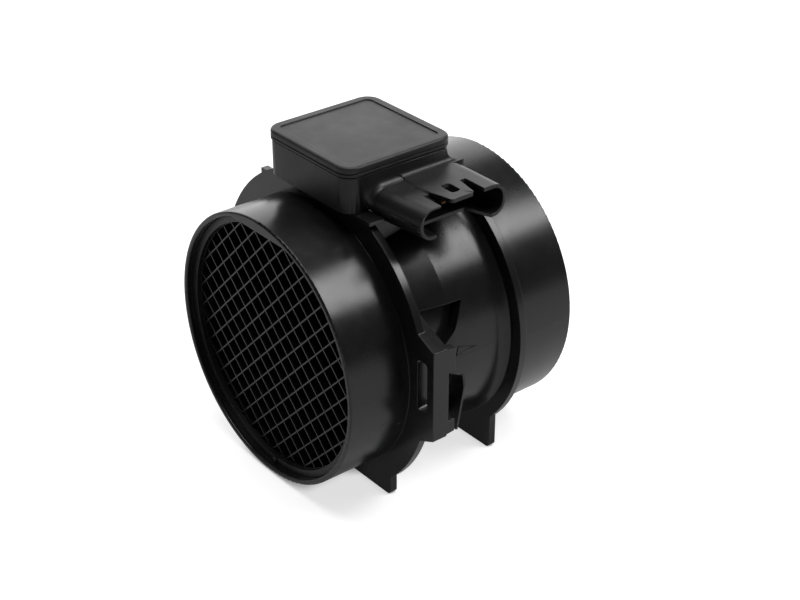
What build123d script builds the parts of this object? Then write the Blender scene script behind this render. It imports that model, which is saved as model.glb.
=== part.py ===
from build123d import *
from math import cos, radians, sin, sqrt
import os

# Mass airflow sensor: a moulded air tube with a flow grid in its inlet and an electronics box on top.
# The origin is on the tube axis, in the plane of the inlet rim. Air flows along +Y, the connector
# faces +X and the electronics box stands on top, towards +Z. All lengths are in millimetres.

# ---------------------------------------------------------------- driving dimensions
# Air tube
spigot_radius = 43.0          # outside of the inlet and outlet spigots
tube_length = 85.4            # inlet rim to outlet rim
rim_wall = 1.7                # wall around the grid seat
rim_rounding = 0.6
outlet_wall = 2.6
throat_y = 22.0               # bore is narrowest here, behind the inlet bell
throat_taper = 1.4            # bore opens by this much up to the rear flange
outlet_step_length = 5.0      # bore opens out to the outlet over this length
seat_shoulder = 2.8           # shoulder that the flow grid rests on
neck_wall = 2.6               # at the throat
neck_front_step = 6.4         # spigot down to the neck behind the front flange
neck_crease_step = 3.3        # spigot down to the neck where its slope changes
neck_crease_y = 41.4
neck_rear_step = 2.3          # spigot down to the neck before its root
neck_root_length = 3.6        # the neck sweeps out to the rear flange over this length
neck_root_rise = 1.3
neck_root_lip = 0.3           # thin step where the root meets the flange
rim_flat_depth = 1.7          # flat inside the top of the inlet rim

# Flanges, with flat feet that the tube stands on
flange_thickness = 2.5
front_flange_y = 21.4
front_flange_height = 7.3     # above the spigot
rear_flange_y = 61.2
rear_flange_height = 3.6
foot_half_width = 34.0
foot_gap = 0.4                # spigot down to the surface that the tube stands on
foot_corner = 1.5

# Spring clip brackets, one on each side of the front flange
bracket_offset = 10.6         # spigot to the outer face
bracket_depth = 5.1           # along the flow
bracket_top = 15.8
bracket_bottom = -13.6
bracket_slope = 0.457         # its ends fall by this much for each millimetre outwards
hook_length = 2.9             # hook plate that runs on behind the bracket
hook_thickness = 2.8
hook_draft = 0.8              # the hook plate is shorter at its rear edge
slot_width = 4.3              # slot for the spring clip
slot_top = 11.0
slot_bottom = -5.8
slot_corner = 1.2
notch_depth = 2.4             # notch in the rear edge of the hook plate
notch_top = 7.7
notch_bottom = -8.7

# Core-outs in the neck beside the brackets, and a rib behind the lower one
pocket_floor_wall = 2.0       # bore to the floor
pocket_top = 17.0
pocket_rear_y = 46.3
pocket_waist_y = 42.1         # its rear wall bends here
pocket_waist_z = 9.3
pocket_tip_y = 34.0
pocket_tip_z = 1.5
lower_pocket_top = -7.2       # at its rear wall
lower_pocket_tip_z = -1.5
rib_y = 44.5
rib_thickness = 0.7
rib_step = 2.7                # spigot down to its outer corner
rib_taper = 3.1               # the rib is narrower at its lower end
rib_top = -7.2
rib_corner_z = -11.0
rib_bottom = -27.8

# Pedestal under the electronics box, and the ledge and lug beside it
pedestal_half_width = 17.5
pedestal_rear_y = 56.6
pedestal_corner = 2.0
ledge_reach = 26.3
ledge_front_y = 20.4
ledge_depth = 5.1
ledge_thickness = 1.0
lug_reach = 28.2
lug_height = 0.3              # above the spigot
lug_size = 5.0

# Electronics box
box_half_width = 19.65
box_front_y = 17.75
box_rear_y = 56.75
box_corner = 4.65
box_gap = 3.4                 # spigot to the underside of the box
box_height = 11.0
box_wall = 2.0
box_floor = 1.8
lid_overhang = 0.35
lid_height = 3.1
lid_rim_height = 0.8          # thin rim around the foot of the lid
lid_groove_height = 0.3       # groove between the rim and the body of the lid
lid_groove_depth = 0.5
lid_top_thickness = 1.6
lid_skirt = 2.0
lid_edge_radius = 0.9
lid_border = 3.0
lid_panel_depth = 0.3
seal_thickness = 0.4          # sealant under the lid
base_seal_thickness = 0.3     # sealant under the box
seal_inset = 0.5
seal_width = 1.2

# Connector shroud on the +X side of the box
shroud_left_y = 27.4          # at the mouth
shroud_root_left_y = 25.4     # where the flare ends
shroud_right_y = 58.9
shroud_drop = 3.3             # below the underside of the box
shroud_height = 9.6
shroud_corner = 4.5
shroud_reach = 40.3           # axis to the mouth
shroud_wall = 1.0
shroud_roof = 0.6             # over the socket, beside the raised panel
socket_depth = 13.5
flare_reach = 2.2             # the root fillet runs out over this length
flare_left = 1.7              # widening at the wall of the box
flare_top = 3.9
flare_bottom = -4.2           # the root starts higher up, clear of the ledge
flare_right = -4.4            # it stays on the flat side of the box
flare_steps = (0.0, 0.12, 0.4, 1.0)
root_depth = 3.0              # the root reaches into the corner of the box
raised_left_y = 37.1          # raised panel that runs on around the right end of the shroud
raised_height = 0.6
raised_corner = 4.8
raised_root_rise = 3.6        # its root rises to the rim of the box
raised_root_left_y = 32.5     # and spreads to here
raised_root_right_y = 54.4
tongue_y = 42.8               # latch tongue, between two slots
tongue_root_half_width = 5.7
tongue_tip_half_width = 4.1
tongue_length = 8.2
tongue_left_slot_y = 34.7
tongue_right_slot_y = 50.6
tongue_corner = 1.0
window_length = 5.7           # window for the latch of the plug
window_width = 3.3
window_corner = 1.1
window_y = 43.25
window_setback = 3.3          # mouth to the window
relief_depth = 8.3            # the lower wall of the mouth is cut back
relief_left_y = 33.2
relief_rear_right_y = 50.5
relief_front_right_y = 53.5

# Connector terminals
terminal_count = 5
terminal_pitch = 4.6
terminal_y = 42.95            # middle terminal
terminal_width = 1.5
terminal_thickness = 0.6
terminal_tip_setback = 8.6    # mouth to the tips
terminal_bend_x = 23.5
terminal_bend_length = 2.5
terminal_bend_radius = 0.8
terminal_pad_x = 12.8
terminal_height = 4.7         # above the bottom of the shroud

# Flow grid and its retainer
retainer_front_y = 2.5
retainer_thickness = 1.5
retainer_width = 2.2
grid_depth = 6.0
grid_pitch = 5.06
grid_wall = 0.45
grid_ring_width = 2.4
pin_radius = 0.6
pin_angle = -89.0
pin_inset = 1.3               # from the seat of the grid
pin_head_radius = 0.9
pin_head_height = 0.6
pin_length = 5.0              # below its head

# Measuring channel that hangs in the air stream
channel_y = 40.0              # middle of the channel
channel_z = 2.0
channel_length = 24.0
channel_outer_radius = 7.4
channel_bore_radius = 5.4
channel_mouth_rounding = 0.9
stem_width = 8.0
stem_length = 20.0
stem_rounding = 3.0
stem_slot_width = 3.0
stem_slot_length = 15.0
stem_plate_width = 21.0
stem_plate_length = 30.0
stem_plate_corner = 2.0
stem_plate_thickness = 1.6
duct_seal_thickness = 0.6
duct_seal_width = 1.5
opening_margin = 0.6          # around the channel as it is put in

# Sensing elements in the channel
plate_thickness = 0.5
plate_length = 4.6
plate_height = 6.0
plate_places = (35.5, 41.5)   # along the flow
lead_radius = 0.3
lead_spacing = 2.4
thermistor_radius = 1.2
thermistor_y = 46.2
thermistor_lead_spacing = 1.2

# Electronics inside the box
spreader_thickness = 0.8
spreader_margin = 1.0
board_thickness = 0.8
board_margin = 1.6
solder_gap = 0.1              # under each component
lead_standout = 0.8           # leads above the board
control_chip_size = (9.0, 9.0, 1.4)
control_chip_place = (-8.5, 30.0)
driver_chip_size = (6.0, 4.0, 1.5)
driver_chip_place = (-8.5, 45.0)
capacitor_size = (3.2, 2.5, 1.8)
capacitor_x = 7.0
capacitor_first_y = 27.0
capacitor_pitch = 4.4
capacitor_count = 3

# Fits
fit_clearance = 0.1
press_clearance = 0.05

# ---------------------------------------------------------------- derived places
seat_radius = spigot_radius - rim_wall
outlet_radius = spigot_radius - outlet_wall
shoulder_radius = seat_radius - seat_shoulder
rim_flat = seat_radius - rim_flat_depth
neck_front_radius = spigot_radius - neck_front_step
neck_crease_radius = spigot_radius - neck_crease_step
neck_rear_radius = spigot_radius - neck_rear_step
neck_root_y = rear_flange_y - neck_root_length
throat_radius = neck_front_radius - neck_wall
throat_exit_radius = throat_radius + throat_taper
pocket_floor_radius = throat_radius + pocket_floor_wall
front_flange_radius = spigot_radius + front_flange_height
rear_flange_radius = spigot_radius + rear_flange_height
foot_drop = spigot_radius + foot_gap
bracket_reach = spigot_radius + bracket_offset
rib_reach = spigot_radius - rib_step
lug_top = spigot_radius + lug_height
grid_inner_radius = seat_radius - grid_ring_width
retainer_inner_radius = seat_radius - retainer_width
pin_circle_radius = seat_radius - pin_inset
grid_front_y = retainer_front_y + retainer_thickness
grid_rear_y = grid_front_y + grid_depth
hook_rear_y = front_flange_y + bracket_depth + hook_length
slot_inner_x = bracket_reach - hook_thickness - slot_width
flange_rear_y = front_flange_y + flange_thickness
box_base_z = spigot_radius + box_gap
box_rim_z = box_base_z + box_height
box_width = 2 * box_half_width
box_length = box_rear_y - box_front_y
box_middle_y = (box_front_y + box_rear_y) / 2
pedestal_top = box_base_z - base_seal_thickness
pedestal_length = pedestal_rear_y - front_flange_y
pedestal_middle_y = (pedestal_rear_y + front_flange_y) / 2
recess_depth = stem_plate_thickness + duct_seal_thickness
opening_width = 2 * (channel_outer_radius + opening_margin)
opening_length = channel_length + 2 * opening_margin
floor_top = box_base_z + box_floor
lid_base_z = box_rim_z + seal_thickness
lid_width = box_width + 2 * lid_overhang
lid_length = box_length + 2 * lid_overhang
lid_corner = box_corner + lid_overhang
spreader_top = floor_top + spreader_thickness
board_top = spreader_top + board_thickness
shroud_bottom = box_base_z - shroud_drop
shroud_top = shroud_bottom + shroud_height
socket_top = shroud_top - shroud_roof
socket_bottom = shroud_bottom + shroud_wall
raised_top = shroud_top + raised_height
terminal_z = shroud_bottom + terminal_height
flare_end_x = box_half_width + flare_reach
pad_z = board_top + solder_gap + terminal_thickness / 2
lead_top = board_top + lead_standout
plate_top = channel_z + plate_height / 2


def station(y):
    """Plane across the flow at distance y behind the inlet rim: X to the right, Z up, normal to the inlet."""
    return Plane.XZ.offset(-y)


def flatted_disc(radius, clearance):
    """Disc in the current sketch that clears the flat inside the top of the rim."""
    Circle(radius)
    with Locations((0, rim_flat - clearance)):
        Rectangle(2 * radius, 2 * radius, align=(Align.CENTER, Align.MIN), mode=Mode.SUBTRACT)


def level(z, x, y):
    """Horizontal plane at height z with its origin at x, y."""
    return Plane((x, y, z))


os.makedirs("parts", exist_ok=True)

# ---------------------------------------------------------------- air tube
with BuildPart() as pocket_floor:
    with BuildSketch(station(flange_rear_y)):
        Circle(pocket_floor_radius)
    extrude(amount=-(rear_flange_y - flange_rear_y))

with BuildPart() as tube_body:
    # Outside of the tube: inlet spigot, neck with its step, outlet spigot.
    with BuildSketch(Plane.XY):
        with BuildLine():
            root = TangentArc(
                (neck_rear_radius, neck_root_y),
                (neck_rear_radius + neck_root_rise, rear_flange_y - neck_root_lip),
                tangent=(neck_rear_radius - neck_crease_radius, neck_root_y - neck_crease_y),
            )
            Polyline(
                root @ 1,
                (neck_rear_radius + neck_root_rise + neck_root_lip, rear_flange_y),
                (spigot_radius, rear_flange_y),
                (spigot_radius, tube_length),
                (0, tube_length),
                (0, 0),
                (spigot_radius, 0),
                (spigot_radius, flange_rear_y),
                (neck_front_radius, flange_rear_y),
                (neck_crease_radius, neck_crease_y),
                root @ 0,
            )
        make_face()
    revolve(axis=Axis.Y)

    # Core-outs in the neck, down to a round floor, with walls along the way the cores are drawn.
    for side in (1, -1):
        with BuildSketch(Plane.YZ):
            with BuildLine():
                Polyline(
                    (flange_rear_y, pocket_top),
                    (pocket_rear_y, pocket_top),
                    (pocket_waist_y, pocket_waist_z),
                    (pocket_tip_y, pocket_tip_z),
                    (flange_rear_y, pocket_tip_z),
                    close=True,
                )
            make_face()
            with BuildLine():
                Polyline(
                    (flange_rear_y, lower_pocket_tip_z),
                    (pocket_tip_y, lower_pocket_tip_z),
                    (rib_y, lower_pocket_top),
                    (rib_y, rib_bottom),
                    (flange_rear_y, rib_bottom),
                    close=True,
                )
            make_face()
        extrude(amount=side * spigot_radius, mode=Mode.SUBTRACT)
    add(pocket_floor.part)

    # Flanges: round plates, each with a flat foot below.
    for flange_y, flange_radius in ((front_flange_y, front_flange_radius),
                                    (rear_flange_y, rear_flange_radius)):
        with BuildSketch(station(flange_y)) as flange:
            Circle(flange_radius)
            Rectangle(2 * foot_half_width, foot_drop, align=(Align.CENTER, Align.MAX))
            with Locations((0, -foot_drop)):
                Rectangle(2 * flange_radius, flange_radius, align=(Align.CENTER, Align.MAX),
                          mode=Mode.SUBTRACT)
            fillet(flange.vertices().group_by(Axis.Y)[0], foot_corner)
        extrude(amount=-flange_thickness)

    # The front flange is cut flat below the electronics box.
    with BuildSketch(level(pedestal_top, 0, front_flange_y)):
        Rectangle(front_flange_radius, flange_thickness, align=(Align.CENTER, Align.MIN))
    extrude(amount=front_flange_radius, mode=Mode.SUBTRACT)

    # Lug on the upper left of the front flange.
    with BuildSketch(station(front_flange_y)):
        with Locations((-lug_reach, lug_top)):
            Rectangle(lug_size, lug_size, align=(Align.MIN, Align.MAX))
    extrude(amount=-flange_thickness)

    # Pedestal for the electronics box, with its ledge beside the connector.
    with BuildSketch(level(0, 0, pedestal_middle_y)):
        RectangleRounded(2 * pedestal_half_width, pedestal_length, pedestal_corner)
    extrude(amount=pedestal_top)
    with BuildSketch(level(pedestal_top, 0, ledge_front_y)):
        Rectangle(ledge_reach, ledge_depth, align=(Align.MIN, Align.MIN))
    extrude(amount=-ledge_thickness)

    # Clip brackets: a sloping block with a slot for the spring clip, and a notched hook plate.
    for side in (1, -1):
        slope_drop = bracket_slope * bracket_reach
        with BuildSketch(station(front_flange_y)):
            with BuildLine():
                Polyline(
                    (0, bracket_top + slope_drop),
                    (side * bracket_reach, bracket_top),
                    (side * bracket_reach, bracket_bottom),
                    (0, bracket_bottom - slope_drop),
                    close=True,
                )
            make_face()
        extrude(amount=-bracket_depth)
        with BuildSketch(Plane.YZ.offset(side * bracket_reach)):
            with BuildLine():
                Polyline(
                    (front_flange_y, bracket_top),
                    (hook_rear_y, bracket_top - hook_draft),
                    (hook_rear_y, bracket_bottom + hook_draft),
                    (front_flange_y, bracket_bottom),
                    close=True,
                )
            make_face()
            with Locations((hook_rear_y, notch_top)):
                Rectangle(notch_depth, notch_top - notch_bottom, align=(Align.MAX, Align.MAX),
                          mode=Mode.SUBTRACT)
        extrude(amount=-side * hook_thickness)
        with BuildSketch(station(front_flange_y)):
            with Locations((side * (slot_inner_x + slot_width / 2), (slot_top + slot_bottom) / 2)):
                RectangleRounded(slot_width, slot_top - slot_bottom, slot_corner)
        extrude(amount=-bracket_depth, mode=Mode.SUBTRACT)

        # Rib across the flow, below the bracket.
        with BuildSketch(station(rib_y)):
            with BuildLine():
                Polyline(
                    (0, rib_top),
                    (side * neck_crease_radius, rib_top),
                    (side * rib_reach, rib_corner_z),
                    (side * (rib_reach - rib_taper), rib_bottom),
                    (0, rib_bottom),
                    close=True,
                )
            make_face()
        extrude(amount=-rib_thickness)

    # Bore: seat for the grid, inlet bell, throat and outlet.
    with BuildSketch(Plane.XY):
        with BuildLine():
            bell = Spline(
                (shoulder_radius, grid_rear_y),
                (throat_radius, throat_y),
                tangents=[(-0.5, 1), (0, 1)],
            )
            Polyline(
                bell @ 1,
                (throat_exit_radius, rear_flange_y),
                (outlet_radius, rear_flange_y + outlet_step_length),
                (outlet_radius, tube_length),
                (0, tube_length),
                (0, 0),
                (seat_radius, 0),
                (seat_radius, grid_rear_y),
                bell @ 0,
            )
        make_face()
    revolve(axis=Axis.Y, mode=Mode.SUBTRACT)

    # Flat inside the top of the grid seat.
    with BuildSketch(station(0)):
        Circle(seat_radius + fit_clearance)
        with Locations((0, rim_flat)):
            Rectangle(2 * seat_radius, 2 * seat_radius, align=(Align.CENTER, Align.MAX),
                      mode=Mode.SUBTRACT)
    extrude(amount=-grid_rear_y)

    # Opening in the pedestal for the measuring channel, with a recess for its plate.
    with BuildSketch(level(0, 0, channel_y)):
        Rectangle(opening_width, opening_length)
    extrude(amount=pedestal_top, mode=Mode.SUBTRACT)
    with BuildSketch(level(pedestal_top, 0, channel_y)):
        RectangleRounded(stem_plate_width + 2 * fit_clearance, stem_plate_length + 2 * fit_clearance,
                         stem_plate_corner)
    extrude(amount=-recess_depth, mode=Mode.SUBTRACT)

    # Soft edges on the two rims.
    inlet_edges = tube_body.edges().filter_by(GeomType.CIRCLE).group_by(Axis.Y)[0]
    outlet_edges = tube_body.edges().filter_by(GeomType.CIRCLE).group_by(Axis.Y)[-1]
    fillet(inlet_edges + outlet_edges, rim_rounding)

# ---------------------------------------------------------------- flow grid
pin_x = pin_circle_radius * cos(radians(pin_angle))
pin_z = pin_circle_radius * sin(radians(pin_angle))

with BuildPart() as flow_grid:
    with BuildSketch(station(grid_front_y)):
        flatted_disc(seat_radius - fit_clearance, fit_clearance)
        Circle(grid_inner_radius, mode=Mode.SUBTRACT)
    extrude(amount=-grid_depth)
    with BuildSketch(station(grid_front_y)):
        wall_count = int(2 * grid_inner_radius / grid_pitch)
        for direction in (45, -45):
            with Locations(Rotation(0, 0, direction)):
                with GridLocations(0, grid_pitch, 1, wall_count):
                    Rectangle(2 * seat_radius, grid_wall)
        Circle(grid_inner_radius + grid_wall, mode=Mode.INTERSECT)
    extrude(amount=-grid_depth)
    with BuildSketch(station(grid_front_y)):
        with Locations((pin_x, pin_z)):
            Circle(pin_radius + press_clearance)
    extrude(amount=-grid_depth, mode=Mode.SUBTRACT)

# ---------------------------------------------------------------- grid retainer and its pin
with BuildPart() as grid_retainer:
    with BuildSketch(station(retainer_front_y)):
        flatted_disc(seat_radius - press_clearance, press_clearance)
        Circle(retainer_inner_radius, mode=Mode.SUBTRACT)
        with Locations((pin_x, pin_z)):
            Circle(pin_radius + press_clearance, mode=Mode.SUBTRACT)
    extrude(amount=-retainer_thickness)

with BuildPart() as retainer_pin:
    with BuildSketch(station(retainer_front_y)):
        with Locations((pin_x, pin_z)):
            Circle(pin_radius)
    extrude(amount=-pin_length)
    with BuildSketch(station(retainer_front_y)):
        with Locations((pin_x, pin_z)):
            Circle(pin_head_radius)
    extrude(amount=pin_head_height)
    fillet(retainer_pin.edges().group_by(Axis.Y)[0], pin_head_height / 2)

# ---------------------------------------------------------------- terminals
def terminal_shape(y, width, height):
    """Sweep of a cranked strip across one terminal place: pad on the board, bend, blade in the socket."""
    with BuildPart() as strip:
        with BuildSketch(station(y - width / 2)):
            with BuildLine():
                FilletPolyline(
                    (terminal_pad_x, pad_z),
                    (terminal_bend_x, pad_z),
                    (terminal_bend_x + terminal_bend_length, terminal_z),
                    (shroud_reach - terminal_tip_setback, terminal_z),
                    radius=terminal_bend_radius,
                )
            trace(line_width=height)
        extrude(amount=-width)
    return strip.part


terminal_places = [terminal_y + terminal_pitch * (i - (terminal_count - 1) / 2)
                   for i in range(terminal_count)]
terminals = [terminal_shape(y, terminal_width, terminal_thickness) for y in terminal_places]
terminal_holes = [terminal_shape(y, terminal_width + 2 * press_clearance,
                                 terminal_thickness + 2 * press_clearance)
                  for y in terminal_places]

# ---------------------------------------------------------------- electronics box with its connector
def shroud_section(x, spread):
    """Section of the shroud root: spread is 1 at the wall of the box and 0 where the flare ends."""
    left = shroud_root_left_y - spread * flare_left
    right = shroud_right_y + spread * flare_right
    top = shroud_top + spread * flare_top
    bottom = shroud_bottom - spread * flare_bottom
    with BuildSketch(Plane.YZ.offset(x)) as section:
        with Locations(((left + right) / 2, (top + bottom) / 2)):
            RectangleRounded(right - left, top - bottom, shroud_corner)
    return section.sketch


with BuildPart() as raised_panel:
    # Along the shroud: flat, rising to the rim of the box in a concave root.
    with BuildSketch(station(raised_root_left_y)):
        with BuildLine():
            root = Spline(
                (box_half_width, raised_top + raised_root_rise),
                (flare_end_x, raised_top),
                tangents=[(0, -1), (1, 0)],
            )
            Polyline(
                root @ 1,
                (shroud_reach, raised_top),
                (shroud_reach, shroud_bottom),
                (box_half_width - box_wall / 2, shroud_bottom),
                (box_half_width - box_wall / 2, raised_top + raised_root_rise),
                root @ 0,
            )
        make_face()
    extrude(amount=-(shroud_right_y - raised_root_left_y))
    # From above: straight, spreading to the left at the root and stopping at the corner of the box.
    with BuildSketch(Plane.XY.offset(shroud_bottom)):
        with BuildLine():
            spread = Spline(
                (box_half_width, raised_root_left_y),
                (flare_end_x, raised_left_y),
                tangents=[(0, 1), (1, 0)],
            )
            Polyline(
                spread @ 1,
                (shroud_reach, raised_left_y),
                (shroud_reach, shroud_right_y),
                (flare_end_x, shroud_right_y),
                (box_half_width, raised_root_right_y),
                (box_half_width - box_wall / 2, raised_root_right_y),
                (box_half_width - box_wall / 2, raised_root_left_y),
                spread @ 0,
            )
        make_face()
    extrude(amount=box_rim_z - shroud_bottom, mode=Mode.INTERSECT)
    # Across the shroud, its right end is rounded.
    with BuildSketch(Plane.YZ.offset(shroud_reach)):
        with Locations((shroud_right_y, shroud_bottom)):
            Rectangle(raised_corner, raised_corner, align=(Align.MAX, Align.MIN))
        with Locations((shroud_right_y, raised_top)):
            Rectangle(raised_corner, box_rim_z - shroud_bottom, align=(Align.MAX, Align.MAX))
        with Locations((shroud_right_y - raised_corner, raised_top - raised_corner),
                       (shroud_right_y - raised_corner, shroud_bottom + raised_corner)):
            Circle(raised_corner, mode=Mode.SUBTRACT)
    extrude(amount=-(shroud_reach - flare_end_x), mode=Mode.SUBTRACT)

with BuildPart() as box_housing:
    with BuildSketch(level(box_base_z, 0, box_middle_y)):
        RectangleRounded(box_width, box_length, box_corner)
    extrude(amount=box_rim_z - box_base_z)

    # Connector shroud: a flat oval, narrower towards the mouth, with a filleted root on the box.
    with BuildSketch(Plane.YZ.offset(shroud_reach)) as mouth:
        with Locations(((shroud_left_y + shroud_right_y) / 2, (shroud_top + shroud_bottom) / 2)):
            RectangleRounded(shroud_right_y - shroud_left_y, shroud_top - shroud_bottom,
                             shroud_corner)
    loft([shroud_section(flare_end_x, 0), mouth.sketch])
    loft([shroud_section(box_half_width + step * flare_reach, 1 - sqrt(1 - (1 - step) ** 2))
          for step in flare_steps])
    extrude(shroud_section(box_half_width, 1), amount=-root_depth)

    add(raised_panel.part)

    # Socket, and the openings in its roof that leave the latch tongue.
    with BuildSketch(Plane.YZ.offset(shroud_reach)):
        with Locations(((shroud_left_y + shroud_right_y) / 2, (socket_top + socket_bottom) / 2)):
            RectangleRounded(shroud_right_y - shroud_left_y - 2 * shroud_wall,
                             socket_top - socket_bottom, shroud_corner - shroud_wall)
    extrude(amount=-socket_depth, mode=Mode.SUBTRACT)
    with BuildSketch(Plane.XY.offset((shroud_top + shroud_bottom) / 2)):
        for side, slot_y in ((-1, tongue_left_slot_y), (1, tongue_right_slot_y)):
            with BuildLine():
                Polyline(
                    (shroud_reach, slot_y),
                    (shroud_reach - tongue_length, slot_y),
                    (shroud_reach - tongue_length, tongue_y + side * tongue_root_half_width),
                    (shroud_reach, tongue_y + side * tongue_tip_half_width),
                    close=True,
                )
            make_face()
        with Locations((shroud_reach - window_setback - window_length / 2, window_y)):
            RectangleRounded(window_length, window_width, window_corner)
    extrude(amount=box_rim_z - shroud_bottom, mode=Mode.SUBTRACT)
    with BuildSketch(Plane.XY.offset(shroud_bottom)):
        with BuildLine():
            Polyline(
                (shroud_reach, relief_left_y),
                (shroud_reach - relief_depth, relief_left_y),
                (shroud_reach - relief_depth, relief_rear_right_y),
                (shroud_reach, relief_front_right_y),
                close=True,
            )
        make_face()
    extrude(amount=2 * shroud_wall, mode=Mode.SUBTRACT)
    tongue_tips = (box_housing.edges().filter_by(Axis.Z).group_by(Axis.X)[-1]
                   .filter_by_position(Axis.Y, tongue_y - tongue_root_half_width,
                                       tongue_y + tongue_root_half_width))
    fillet(tongue_tips, tongue_corner)

    # Chamber for the electronics, and the opening in its floor for the leads.
    with BuildSketch(level(box_rim_z, 0, box_middle_y)):
        RectangleRounded(box_width - 2 * box_wall, box_length - 2 * box_wall, box_corner - box_wall)
    extrude(amount=floor_top - box_rim_z, mode=Mode.SUBTRACT)
    with BuildSketch(level(floor_top, 0, channel_y)):
        Rectangle(stem_slot_width, stem_slot_length)
    extrude(amount=-box_floor, mode=Mode.SUBTRACT)
    for hole in terminal_holes:
        add(hole, mode=Mode.SUBTRACT)

# ---------------------------------------------------------------- lid and seals
with BuildPart() as box_lid:
    with BuildSketch(level(lid_base_z, 0, box_middle_y)):
        RectangleRounded(lid_width, lid_length, lid_corner)
    extrude(amount=lid_height)
    fillet(box_lid.edges().group_by(Axis.Z)[-1], lid_edge_radius)
    # Groove around the side, above the thin rim.
    with BuildSketch(level(lid_base_z + lid_rim_height, 0, box_middle_y)):
        RectangleRounded(lid_width, lid_length, lid_corner)
        RectangleRounded(lid_width - 2 * lid_groove_depth, lid_length - 2 * lid_groove_depth,
                         lid_corner - lid_groove_depth, mode=Mode.SUBTRACT)
    extrude(amount=lid_groove_height, mode=Mode.SUBTRACT)
    # Hollow underneath, and the sunk panel on top.
    with BuildSketch(level(lid_base_z, 0, box_middle_y)):
        RectangleRounded(lid_width - 2 * lid_skirt, lid_length - 2 * lid_skirt, lid_corner - lid_skirt)
    extrude(amount=lid_height - lid_top_thickness, mode=Mode.SUBTRACT)
    with BuildSketch(level(lid_base_z + lid_height, 0, box_middle_y)):
        RectangleRounded(lid_width - 2 * lid_border, lid_length - 2 * lid_border,
                         lid_corner - lid_border)
    extrude(amount=-lid_panel_depth, mode=Mode.SUBTRACT)

with BuildPart() as lid_seal:
    with BuildSketch(level(box_rim_z, 0, box_middle_y)):
        RectangleRounded(box_width - 2 * seal_inset, box_length - 2 * seal_inset,
                         box_corner - seal_inset)
        RectangleRounded(box_width - 2 * seal_inset - 2 * seal_width,
                         box_length - 2 * seal_inset - 2 * seal_width,
                         box_corner - seal_inset - seal_width, mode=Mode.SUBTRACT)
    extrude(amount=seal_thickness)

with BuildPart() as base_seal:
    with BuildSketch(level(pedestal_top, 0, pedestal_middle_y)):
        RectangleRounded(2 * pedestal_half_width - 2 * seal_inset, pedestal_length - 2 * seal_inset,
                         pedestal_corner - seal_inset)
    extrude(amount=base_seal_thickness)
    with BuildSketch(level(pedestal_top, 0, channel_y)):
        RectangleRounded(stem_plate_width + 2 * fit_clearance, stem_plate_length + 2 * fit_clearance,
                         stem_plate_corner)
    extrude(amount=base_seal_thickness, mode=Mode.SUBTRACT)

# ---------------------------------------------------------------- measuring channel and its seal
with BuildPart() as sensor_duct:
    with BuildSketch(station(channel_y - channel_length / 2)):
        with Locations((0, channel_z)):
            Circle(channel_outer_radius)
    extrude(amount=-channel_length)
    fillet(sensor_duct.edges().filter_by(GeomType.CIRCLE), channel_mouth_rounding)
    with BuildSketch(level(channel_z, 0, channel_y)):
        RectangleRounded(stem_width, stem_length, stem_rounding)
    extrude(amount=pedestal_top - channel_z - stem_plate_thickness / 2)
    with BuildSketch(level(pedestal_top, 0, channel_y)):
        RectangleRounded(stem_plate_width, stem_plate_length, stem_plate_corner)
    extrude(amount=-stem_plate_thickness)
    with BuildSketch(station(channel_y - channel_length / 2)):
        with Locations((0, channel_z)):
            Circle(channel_bore_radius)
    extrude(amount=-channel_length, mode=Mode.SUBTRACT)
    with BuildSketch(level(channel_z, 0, channel_y)):
        Rectangle(stem_slot_width, stem_slot_length)
    extrude(amount=pedestal_top - channel_z, mode=Mode.SUBTRACT)

with BuildPart() as duct_seal:
    with BuildSketch(level(pedestal_top - recess_depth, 0, channel_y)):
        Rectangle(opening_width + 2 * duct_seal_width, opening_length + 2 * duct_seal_width)
        Rectangle(opening_width, opening_length, mode=Mode.SUBTRACT)
    extrude(amount=duct_seal_thickness)

# ---------------------------------------------------------------- sensing elements
lead_places = [y + side * lead_spacing / 2 for y in plate_places for side in (-1, 1)]
thermistor_lead_places = [thermistor_y + side * thermistor_lead_spacing / 2 for side in (-1, 1)]


def sensing_plate(y):
    """Thin ceramic plate on edge in the channel, along the flow."""
    with BuildPart() as plate:
        with BuildSketch(level(channel_z - plate_height / 2, 0, y)):
            Rectangle(plate_thickness, plate_length)
        extrude(amount=plate_height)
    return plate.part


def plate_lead(y):
    """Straight lead from the top of a sensing plate to the circuit board."""
    with BuildPart() as lead:
        with BuildSketch(level(plate_top, 0, y)):
            Circle(lead_radius)
        extrude(amount=lead_top - plate_top)
    return lead.part


with BuildPart() as intake_thermistor:
    with Locations((0, thermistor_y, channel_z)):
        Sphere(thermistor_radius)
    with BuildSketch(level(channel_z, 0, thermistor_y)):
        with GridLocations(0, thermistor_lead_spacing, 1, 2):
            Circle(lead_radius)
    extrude(amount=lead_top - channel_z)

# ---------------------------------------------------------------- electronics
inner_width = box_width - 2 * box_wall
inner_length = box_length - 2 * box_wall

with BuildPart() as heat_spreader:
    with BuildSketch(level(floor_top, 0, box_middle_y)):
        Rectangle(inner_width - 2 * spreader_margin, inner_length - 2 * spreader_margin)
    extrude(amount=spreader_thickness)
    with BuildSketch(level(floor_top, 0, channel_y)):
        Rectangle(stem_slot_width, stem_slot_length)
    extrude(amount=spreader_thickness, mode=Mode.SUBTRACT)

with BuildPart() as circuit_board:
    with BuildSketch(level(spreader_top, 0, box_middle_y)):
        Rectangle(inner_width - 2 * board_margin, inner_length - 2 * board_margin)
    extrude(amount=board_thickness)
    with BuildSketch(Plane.XY.offset(spreader_top)):
        with Locations([(0, y) for y in lead_places + thermistor_lead_places]):
            Circle(lead_radius + fit_clearance)
    extrude(amount=board_thickness, mode=Mode.SUBTRACT)


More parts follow.
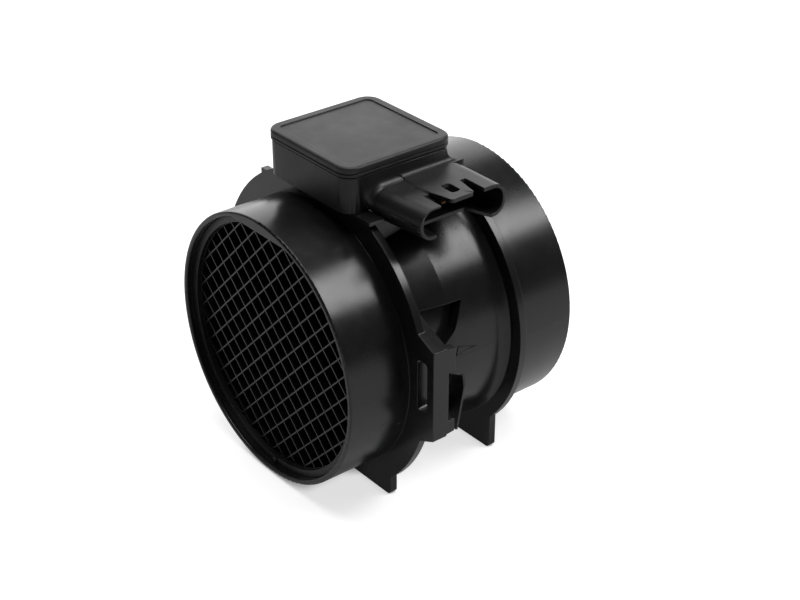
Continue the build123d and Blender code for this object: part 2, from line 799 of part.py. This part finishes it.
def board_component(x, y, size):
    """Block-shaped component soldered on the board."""
    width, length, height = size
    with BuildPart() as component:
        with BuildSketch(level(board_top + solder_gap, x, y)):
            Rectangle(width, length)
        extrude(amount=height)
    return component.part


# ---------------------------------------------------------------- finished pieces
pieces = {
    "tube_body": tube_body.part,
    "flow_grid": flow_grid.part,
    "grid_retainer": grid_retainer.part,
    "retainer_pin": retainer_pin.part,
    "box_housing": box_housing.part,
    "box_lid": box_lid.part,
    "lid_seal": lid_seal.part,
    "base_seal": base_seal.part,
    "sensor_duct": sensor_duct.part,
    "duct_seal": duct_seal.part,
    "heated_plate": sensing_plate(plate_places[1]),
    "reference_plate": sensing_plate(plate_places[0]),
    "intake_thermistor": intake_thermistor.part,
    "heat_spreader": heat_spreader.part,
    "circuit_board": circuit_board.part,
    "control_chip": board_component(*control_chip_place, control_chip_size),
    "driver_chip": board_component(*driver_chip_place, driver_chip_size),
}
for number, y in enumerate(terminal_places, start=1):
    pieces[f"terminal_{number}"] = terminals[number - 1]
for number, y in enumerate(lead_places, start=1):
    pieces[f"plate_lead_{number}"] = plate_lead(y)
for number in range(1, capacitor_count + 1):
    capacitor_y = capacitor_first_y + (number - 1) * capacitor_pitch
    pieces[f"capacitor_{number}"] = board_component(capacitor_x, capacitor_y, capacitor_size)

for name, piece in pieces.items():
    piece.label = name
    export_step(piece, f"parts/{name}.step")
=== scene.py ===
import math
import bpy
from mathutils import Matrix, Vector


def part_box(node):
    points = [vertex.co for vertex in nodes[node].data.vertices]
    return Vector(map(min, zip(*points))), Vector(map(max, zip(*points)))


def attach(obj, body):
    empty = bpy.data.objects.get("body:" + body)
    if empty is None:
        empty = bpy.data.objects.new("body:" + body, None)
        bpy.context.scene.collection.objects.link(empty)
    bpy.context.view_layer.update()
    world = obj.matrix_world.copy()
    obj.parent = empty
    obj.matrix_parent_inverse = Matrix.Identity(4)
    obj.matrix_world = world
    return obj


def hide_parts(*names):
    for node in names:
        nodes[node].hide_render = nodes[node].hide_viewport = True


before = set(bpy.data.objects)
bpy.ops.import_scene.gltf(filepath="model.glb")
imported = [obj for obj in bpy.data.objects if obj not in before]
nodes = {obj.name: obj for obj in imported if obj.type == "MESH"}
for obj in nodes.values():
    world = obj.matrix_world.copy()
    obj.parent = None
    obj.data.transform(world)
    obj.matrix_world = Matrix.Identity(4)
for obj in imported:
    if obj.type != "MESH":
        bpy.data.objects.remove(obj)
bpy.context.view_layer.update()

scene = bpy.context.scene
MM = 0.001


# ------------------------------------------------------------------ materials
def new_material(name):
    material = bpy.data.materials.new(name)
    material.use_nodes = True
    tree = material.node_tree
    tree.nodes.clear()
    out = tree.nodes.new("ShaderNodeOutputMaterial")
    shader = tree.nodes.new("ShaderNodeBsdfPrincipled")
    tree.links.new(shader.outputs["BSDF"], out.inputs["Surface"])
    return material, tree, shader


def noise(tree, coords, scale, detail=4.0, roughness=0.55):
    node = tree.nodes.new("ShaderNodeTexNoise")
    node.inputs["Scale"].default_value = scale
    node.inputs["Detail"].default_value = detail
    node.inputs["Roughness"].default_value = roughness
    tree.links.new(coords, node.inputs["Vector"])
    return node.outputs["Fac"]


def spread(tree, value, low, high, low_out, high_out):
    """Maps a value from one range to another, held at its ends."""
    node = tree.nodes.new("ShaderNodeMapRange")
    node.inputs["From Min"].default_value = low
    node.inputs["From Max"].default_value = high
    node.inputs["To Min"].default_value = low_out
    node.inputs["To Max"].default_value = high_out
    tree.links.new(value, node.inputs["Value"])
    return node.outputs["Result"]


def combine(tree, operation, a, b):
    node = tree.nodes.new("ShaderNodeMath")
    node.operation = operation
    for i, v in enumerate((a, b)):
        if isinstance(v, (int, float)):
            node.inputs[i].default_value = v
        else:
            tree.links.new(v, node.inputs[i])
    return node.outputs[0]


def bumped(tree, shader, height, strength, distance, edge):
    """Bump from a height, on top of edges rounded by a small radius."""
    bevel = tree.nodes.new("ShaderNodeBevel")
    bevel.samples = 4
    bevel.inputs["Radius"].default_value = edge
    bump = tree.nodes.new("ShaderNodeBump")
    bump.inputs["Strength"].default_value = strength
    bump.inputs["Distance"].default_value = distance
    tree.links.new(height, bump.inputs["Height"])
    tree.links.new(bevel.outputs["Normal"], bump.inputs["Normal"])
    tree.links.new(bump.outputs["Normal"], shader.inputs["Normal"])


def moulded_plastic(name, tone, rough_low, rough_high, grain, waviness,
                    edge=0.35 * MM, specular=0.35):
    """Black glass-filled plastic: fine mould grain, slow waves from sinking and a cloudy gloss."""
    material, tree, shader = new_material(name)
    coords = tree.nodes.new("ShaderNodeTexCoord").outputs["Object"]
    cloud = noise(tree, coords, 60.0, 5.0, 0.6)
    patch = noise(tree, coords, 260.0, 3.0)
    fine = noise(tree, coords, 3200.0, 2.0)
    slow = noise(tree, coords, 95.0, 1.5, 0.4)
    gloss = spread(tree, combine(tree, "ADD", cloud, combine(tree, "MULTIPLY", patch, 0.5)),
                   0.55, 0.95, rough_low, rough_high)
    tree.links.new(gloss, shader.inputs["Roughness"])
    shade = tree.nodes.new("ShaderNodeMix")
    shade.data_type = "RGBA"
    darker, lighter = 0.85 * tone, 1.25 * tone
    cooler = 0.05 * tone          # a little more blue than red and green
    shade.inputs["A"].default_value = (darker, darker, darker + cooler, 1)
    shade.inputs["B"].default_value = (lighter, lighter, lighter + cooler, 1)
    tree.links.new(patch, shade.inputs["Factor"])
    tree.links.new(shade.outputs["Result"], shader.inputs["Base Color"])
    shader.inputs["Specular IOR Level"].default_value = specular
    height = combine(tree, "ADD", combine(tree, "MULTIPLY", fine, grain),
                     combine(tree, "MULTIPLY", slow, waviness))
    bumped(tree, shader, height, 1.0, 1.0 * MM, edge)
    return material


def plain(name, colour, roughness, metallic=0.0, grain=0.02):
    """Finish of an inner part: one colour, slightly uneven gloss and a fine grain."""
    material, tree, shader = new_material(name)
    coords = tree.nodes.new("ShaderNodeTexCoord").outputs["Object"]
    cloud = noise(tree, coords, 400.0)
    tree.links.new(spread(tree, cloud, 0.35, 0.65, roughness * 0.85, roughness * 1.2),
                   shader.inputs["Roughness"])
    shader.inputs["Base Color"].default_value = (*colour, 1)
    shader.inputs["Metallic"].default_value = metallic
    bumped(tree, shader, noise(tree, coords, 2500.0), 1.0, grain * MM, 0.05 * MM)
    return material


tube_plastic = moulded_plastic("tube plastic", 0.0058, 0.21, 0.28, 0.003, 0.015)
grid_plastic = moulded_plastic("grid plastic", 0.0045, 0.25, 0.38, 0.003, 0.03, edge=0.1 * MM)
housing_plastic = moulded_plastic("housing plastic", 0.0050, 0.36, 0.46, 0.006, 0.015)
lid_plastic = moulded_plastic("lid plastic", 0.010, 0.42, 0.52, 0.008, 0.02)
sealant = plain("sealant", (0.004, 0.004, 0.004), 0.6)
duct_plastic = moulded_plastic("duct plastic", 0.005, 0.30, 0.45, 0.005, 0.03, edge=0.15 * MM)
ceramic = plain("ceramic plate", (0.80, 0.80, 0.76), 0.5)
bead_glass = plain("thermistor bead", (0.10, 0.05, 0.03), 0.15)
spreader_metal = plain("spreader aluminium", (0.75, 0.75, 0.77), 0.35, 1.0)
laminate = plain("board laminate", (0.02, 0.12, 0.05), 0.3)
chip_plastic = plain("chip plastic", (0.012, 0.012, 0.012), 0.5)
capacitor_ceramic = plain("capacitor ceramic", (0.45, 0.33, 0.22), 0.5)
# Painted shade: the brass colour is darkened far below real brass, so the terminals look shaded deep
# inside the socket
terminal_brass_painted_shade = plain("terminal brass", (0.07, 0.038, 0.02), 0.5, 1.0)
lead_wire = plain("lead wire", (0.7, 0.7, 0.7), 0.3, 1.0)

finishes = {
    "tube_body": tube_plastic,
    "flow_grid": grid_plastic,
    "grid_retainer": housing_plastic,
    "retainer_pin": housing_plastic,
    "box_housing": housing_plastic,
    "box_lid": lid_plastic,
    "lid_seal": sealant,
    "base_seal": sealant,
    "duct_seal": sealant,
    "sensor_duct": duct_plastic,
    "heated_plate": ceramic,
    "reference_plate": ceramic,
    "intake_thermistor": bead_glass,
    "heat_spreader": spreader_metal,
    "circuit_board": laminate,
    "control_chip": chip_plastic,
    "driver_chip": chip_plastic,
    "capacitor": capacitor_ceramic,
    "terminal": terminal_brass_painted_shade,
    "plate_lead": lead_wire,
}
for name, piece in nodes.items():
    family = name if name in finishes else name.rsplit("_", 1)[0]
    piece.data.materials.clear()
    piece.data.materials.append(finishes[family])

# ------------------------------------------------------------------ shaping
def select_nothing(piece, element_type):
    """Clears the selection in the mesh, and leaves the piece in object mode."""
    bpy.ops.object.mode_set(mode="EDIT")
    bpy.ops.mesh.select_mode(type=element_type)
    bpy.ops.mesh.select_all(action="DESELECT")
    bpy.ops.object.mode_set(mode="OBJECT")


def move_corners(piece, wanted, step):
    """Moves the vertices that are wanted."""
    select_nothing(piece, "VERT")
    for vertex in piece.data.vertices:
        vertex.select = wanted(vertex)
    bpy.ops.object.mode_set(mode="EDIT")
    bpy.ops.transform.translate(value=step)
    bpy.ops.object.mode_set(mode="OBJECT")


def ends(piece, edge):
    return [piece.data.vertices[index].co for index in edge.vertices]


def round_edges(piece, wanted, radius, segments=10):
    """Rounds the edges that are wanted."""
    select_nothing(piece, "EDGE")
    for edge in piece.data.edges:
        edge.select = wanted(edge)
    bpy.ops.object.mode_set(mode="EDIT")
    bpy.ops.mesh.bevel(offset=radius, segments=segments, affect="EDGES")
    bpy.ops.object.mode_set(mode="OBJECT")


def bar(name, low, high, axis=0, radius=0.0):
    """Bar between two corners in millimetres, with its edges along one axis rounded."""
    bpy.ops.object.select_all(action="DESELECT")
    low, high = Vector(low) * MM, Vector(high) * MM
    bpy.ops.mesh.primitive_cube_add(size=1, calc_uvs=False, location=(low + high) / 2,
                                    scale=high - low)
    piece = bpy.context.object
    piece.name = name
    bpy.ops.object.transform_apply(location=True, rotation=False, scale=True)
    if radius:
        def along(edge):
            start, end = ends(piece, edge)
            return abs(end[axis] - start[axis]) > 0.5 * (end - start).length
        round_edges(piece, along, radius * MM)
    return piece


def fuse(piece, other, operation):
    """Joins another piece to this one, or cuts it away, and uses the other up."""
    bpy.ops.object.select_all(action="DESELECT")
    bpy.context.view_layer.objects.active = piece
    piece.select_set(True)
    step = piece.modifiers.new("fuse", "BOOLEAN")
    step.operation = operation
    step.solver = "EXACT"
    step.object = other
    bpy.ops.object.modifier_apply(modifier=step.name)
    bpy.data.objects.remove(other, do_unlink=True)


# ------------------------------------------------------------------ box housing with its connector walls
# Sizes in millimetres
mouth_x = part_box("box_housing")[1].x / MM
shroud_right_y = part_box("box_housing")[1].y / MM
shroud_left_y = 27.4
shroud_bottom, shroud_top = 43.1, 52.7
shroud_corner = 4.5
shroud_wall, shroud_roof = 1.0, 0.6
socket_depth = 13.5
overlap = 0.2                     # of the walls with the floor of the socket
clear = 1.0                       # by which a cutter passes the face that it cuts
near = 0.1                        # within which a place counts as the same
merge_distance = 0.0005
smooth_angle = 30                 # degrees
tongue_y = 42.8
tongue_length = 8.2
tongue_root_half_width, tongue_tip_half_width = 5.7, 4.1
tongue_corner = 1.0
slot_left_y, slot_right_y = 34.7, 50.6
window_y, window_length, window_width, window_corner = 43.25, 5.7, 3.3, 1.1
window_setback = 3.3              # mouth to the window
relief_depth = 8.3
relief_left_y, relief_rear_right_y, relief_front_right_y = 33.2, 50.5, 53.5


def connector_walls():
    """Walls of the shroud around the socket, with the latch tongue, its window and the relief below."""
    socket_x = mouth_x - socket_depth
    past_mouth = mouth_x + clear
    walls = bar("connector_walls", (socket_x - overlap, shroud_left_y, shroud_bottom),
                (mouth_x, shroud_right_y, shroud_top), radius=shroud_corner)
    socket = bar("socket", (socket_x, shroud_left_y + shroud_wall, shroud_bottom + shroud_wall),
                 (past_mouth, shroud_right_y - shroud_wall, shroud_top - shroud_roof),
                 radius=shroud_corner - shroud_wall)
    fuse(walls, socket, "DIFFERENCE")

    # Slots beside the tongue, which narrows towards its tip.
    middle_z = (shroud_bottom + shroud_top) / 2
    slot_length = past_mouth - mouth_x + tongue_length
    taper = (tongue_root_half_width - tongue_tip_half_width) / tongue_length * slot_length
    for side, slot_y in ((-1, slot_left_y), (1, slot_right_y)):
        root_y = tongue_y + side * tongue_root_half_width
        slot = bar("slot", (mouth_x - tongue_length, min(slot_y, root_y), middle_z),
                   (past_mouth, max(slot_y, root_y), shroud_top + clear))

        def beside_tip(vertex):
            return vertex.co.x > mouth_x * MM and abs(vertex.co.y - root_y * MM) < near * MM
        move_corners(slot, beside_tip, (0, -side * taper * MM, 0))
        fuse(walls, slot, "DIFFERENCE")
    window_x = mouth_x - window_setback
    window = bar("window", (window_x - window_length, window_y - window_width / 2, middle_z),
                 (window_x, window_y + window_width / 2, shroud_top + clear),
                 axis=2, radius=window_corner)
    fuse(walls, window, "DIFFERENCE")

    # The lower wall is cut back at the mouth, further on the right.
    relief = bar("relief", (mouth_x - relief_depth, relief_left_y, shroud_bottom - clear),
                 (past_mouth, relief_rear_right_y, shroud_bottom + 2 * shroud_wall))
    cut_length = past_mouth - mouth_x + relief_depth
    slant = (relief_front_right_y - relief_rear_right_y) / relief_depth * cut_length

    def front_right(vertex):
        return vertex.co.x > mouth_x * MM and vertex.co.y > (relief_left_y + near) * MM
    move_corners(relief, front_right, (0, slant * MM, 0))
    fuse(walls, relief, "DIFFERENCE")

    def tongue_tip(edge):
        start, end = ends(walls, edge)
        place = (start + end) / 2 / MM
        upright = abs(end.z - start.z) > 0.9 * (end - start).length
        beside = abs(abs(place.y - tongue_y) - tongue_tip_half_width) < near
        return upright and beside and place.x > mouth_x - near and place.z > middle_z
    round_edges(walls, tongue_tip, tongue_corner * MM, segments=6)
    return walls


def box_housing_shell():
    """The housing as one skin with the walls of its connector."""
    bpy.ops.object.select_all(action="DESELECT")
    shell = nodes["box_housing"].copy()
    shell.data = shell.data.copy()
    shell.name = "box_housing_shell"
    scene.collection.objects.link(shell)
    bpy.context.view_layer.objects.active = shell
    shell.select_set(True)
    bpy.ops.object.mode_set(mode="EDIT")
    bpy.ops.mesh.select_all(action="SELECT")
    bpy.ops.mesh.remove_doubles(threshold=merge_distance * MM)
    bpy.ops.object.mode_set(mode="OBJECT")
    fuse(shell, connector_walls(), "UNION")
    bpy.ops.object.select_all(action="DESELECT")
    bpy.context.view_layer.objects.active = shell
    shell.select_set(True)
    bpy.ops.object.shade_smooth_by_angle(angle=math.radians(smooth_angle))
    even = shell.modifiers.new("even", "WEIGHTED_NORMAL")
    even.keep_sharp = True
    bpy.ops.object.modifier_apply(modifier=even.name)
    shell.data.materials.clear()
    shell.data.materials.append(housing_plastic)
    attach(shell, "root")
    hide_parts("box_housing")
    return shell


box_housing_shell()

# ------------------------------------------------------------------ flow arrow
# Corners on the neck, in millimetres, and the width and depth of the line
arrow_upper_rear = (39.58, 42.64, 3.90)
arrow_tip = (40.13, 49.14, 1.84)
arrow_lower_rear = (39.71, 41.70, 0.63)
arrow_line, arrow_depth = 0.25, 0.36


def flow_arrow():
    """Raised outline of a triangle on the neck, pointing the way that the air flows."""
    corners = [Vector(place) * MM for place in (arrow_upper_rear, arrow_tip, arrow_lower_rear)]
    bpy.ops.object.select_all(action="DESELECT")
    bpy.ops.mesh.primitive_circle_add(vertices=len(corners), radius=2 * MM, calc_uvs=False,
                                      fill_type="NGON")
    arrow = bpy.context.object
    arrow.name = "flow_arrow"
    for index, corner in enumerate(corners):
        move_corners(arrow, lambda vertex: vertex.index == index,
                     corner - arrow.data.vertices[index].co)
    bpy.ops.object.mode_set(mode="EDIT")
    bpy.ops.mesh.select_mode(type="FACE")
    bpy.ops.mesh.select_all(action="SELECT")
    bpy.ops.mesh.inset(thickness=arrow_line * MM)
    bpy.ops.mesh.delete(type="FACE")
    bpy.ops.object.mode_set(mode="OBJECT")
    wall = arrow.modifiers.new("wall", "SOLIDIFY")
    wall.thickness = arrow_depth * MM
    wall.offset = 0.0
    bpy.ops.object.modifier_apply(modifier=wall.name)
    arrow.data.materials.append(tube_plastic)
    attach(arrow, "root")
    return arrow


flow_arrow()

# ------------------------------------------------------------------ floor and surroundings
floor_size = 6.0
floor_tone = 0.50
floor_glow = 0.72                 # with the light that the floor gets, this makes it white
floor_in_gloss = 0.24             # share of the glow that glossy surfaces show
surroundings_level = 0.10         # light from all round
painted_contact_shadow_reach = 5 * MM            # reach of the painted contact shadow: a dark line on the floor where the object meets it


def background_share(tree, in_gloss):
    """1 where the camera looks, and a smaller share in reflections and through glass."""
    path = tree.nodes.new("ShaderNodeLightPath")
    reflected = combine(tree, "MAXIMUM", path.outputs["Is Glossy Ray"],
                        path.outputs["Is Transmission Ray"])
    return combine(tree, "MAXIMUM", path.outputs["Is Camera Ray"],
                   combine(tree, "MULTIPLY", reflected, in_gloss))


def pale_floor():
    bpy.ops.mesh.primitive_plane_add(size=floor_size, location=(0, 0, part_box("tube_body")[0].z))
    floor = bpy.context.object
    floor.name = "floor"
    material, tree, shader = new_material("pale floor")
    shader.inputs["Base Color"].default_value = (floor_tone, floor_tone, floor_tone, 1)
    shader.inputs["Roughness"].default_value = 0.9
    shader.inputs["Specular IOR Level"].default_value = 0.0
    shader.inputs["Emission Color"].default_value = (1, 1, 1, 1)
    # Painted shadow: ambient occlusion dims the floor's glow near the object, so the floor darkens in a
    # line where the object meets it
    painted_contact_shadow = tree.nodes.new("ShaderNodeAmbientOcclusion")
    painted_contact_shadow.samples = 8
    painted_contact_shadow.inputs["Distance"].default_value = painted_contact_shadow_reach
    glow_outside_painted_shadow = spread(tree, painted_contact_shadow.outputs["AO"], 0.10, 0.60, 0.15, 1.0)
    share = combine(tree, "MULTIPLY", background_share(tree, floor_in_gloss), glow_outside_painted_shadow)
    tree.links.new(combine(tree, "MULTIPLY", share, floor_glow), shader.inputs["Emission Strength"])
    floor.data.materials.append(material)


def surroundings():
    world = bpy.data.worlds.new("surroundings")
    scene.world = world
    world.use_nodes = True
    tree = world.node_tree
    background = tree.nodes["Background"]
    background.inputs["Color"].default_value = (1, 1, 1, 1)
    share = background_share(tree, surroundings_level)
    tree.links.new(combine(tree, "MAXIMUM", share, surroundings_level), background.inputs["Strength"])


pale_floor()
surroundings()


# ------------------------------------------------------------------ light
light_aim = Vector((0, 0.04, 0))


def panel(name, azimuth, elevation, distance, width, height, radiance):
    """Soft panel that faces the object.

    Azimuth runs from +X towards +Y, in degrees, and the power follows from the radiance.
    """
    data = bpy.data.lights.new(name, "AREA")
    data.shape = "RECTANGLE"
    data.size, data.size_y = width, height
    data.energy = radiance * math.pi * width * height
    lamp = bpy.data.objects.new(name, data)
    scene.collection.objects.link(lamp)
    turn, lift = math.radians(azimuth), math.radians(elevation)
    outward = Vector((math.cos(turn) * math.cos(lift), math.sin(turn) * math.cos(lift), math.sin(lift)))
    lamp.location = light_aim + outward * distance
    lamp.rotation_mode = "QUATERNION"
    lamp.rotation_quaternion = outward.to_track_quat("Z", "Y")
    return lamp


panel("main softbox", 48, 47, 0.9, 0.38, 0.36, 11.0)
panel("overhead softbox", 0, 90, 1.2, 0.8, 0.8, 6.0)
panel("back wall", 145, 19, 1.3, 2.0, 1.0, 2.0)
panel("left softbox", 185, 46, 1.2, 0.6, 0.5, 1.6)

# ------------------------------------------------------------------ camera
lens, sensor_width = 75.12, 36.0
camera_place = Vector((0.35473, -0.23463, 0.25929))
camera_right = Vector((0.6294, 0.7771, 0.0)).normalized()
camera_back = Vector((0.6747, -0.5464, 0.4963)).normalized()
camera_up = camera_back.cross(camera_right).normalized()
camera_data = bpy.data.cameras.new("camera")
camera_data.sensor_width = sensor_width
camera_data.lens = lens
camera_data.clip_start = 0.01
camera = bpy.data.objects.new("camera", camera_data)
scene.collection.objects.link(camera)
turn = Matrix((camera_right, camera_up, camera_back)).transposed().to_4x4()
camera.matrix_world = Matrix.Translation(camera_place) @ turn
scene.camera = camera

scene.view_settings.view_transform = "Standard"
scene.view_settings.look = "None"
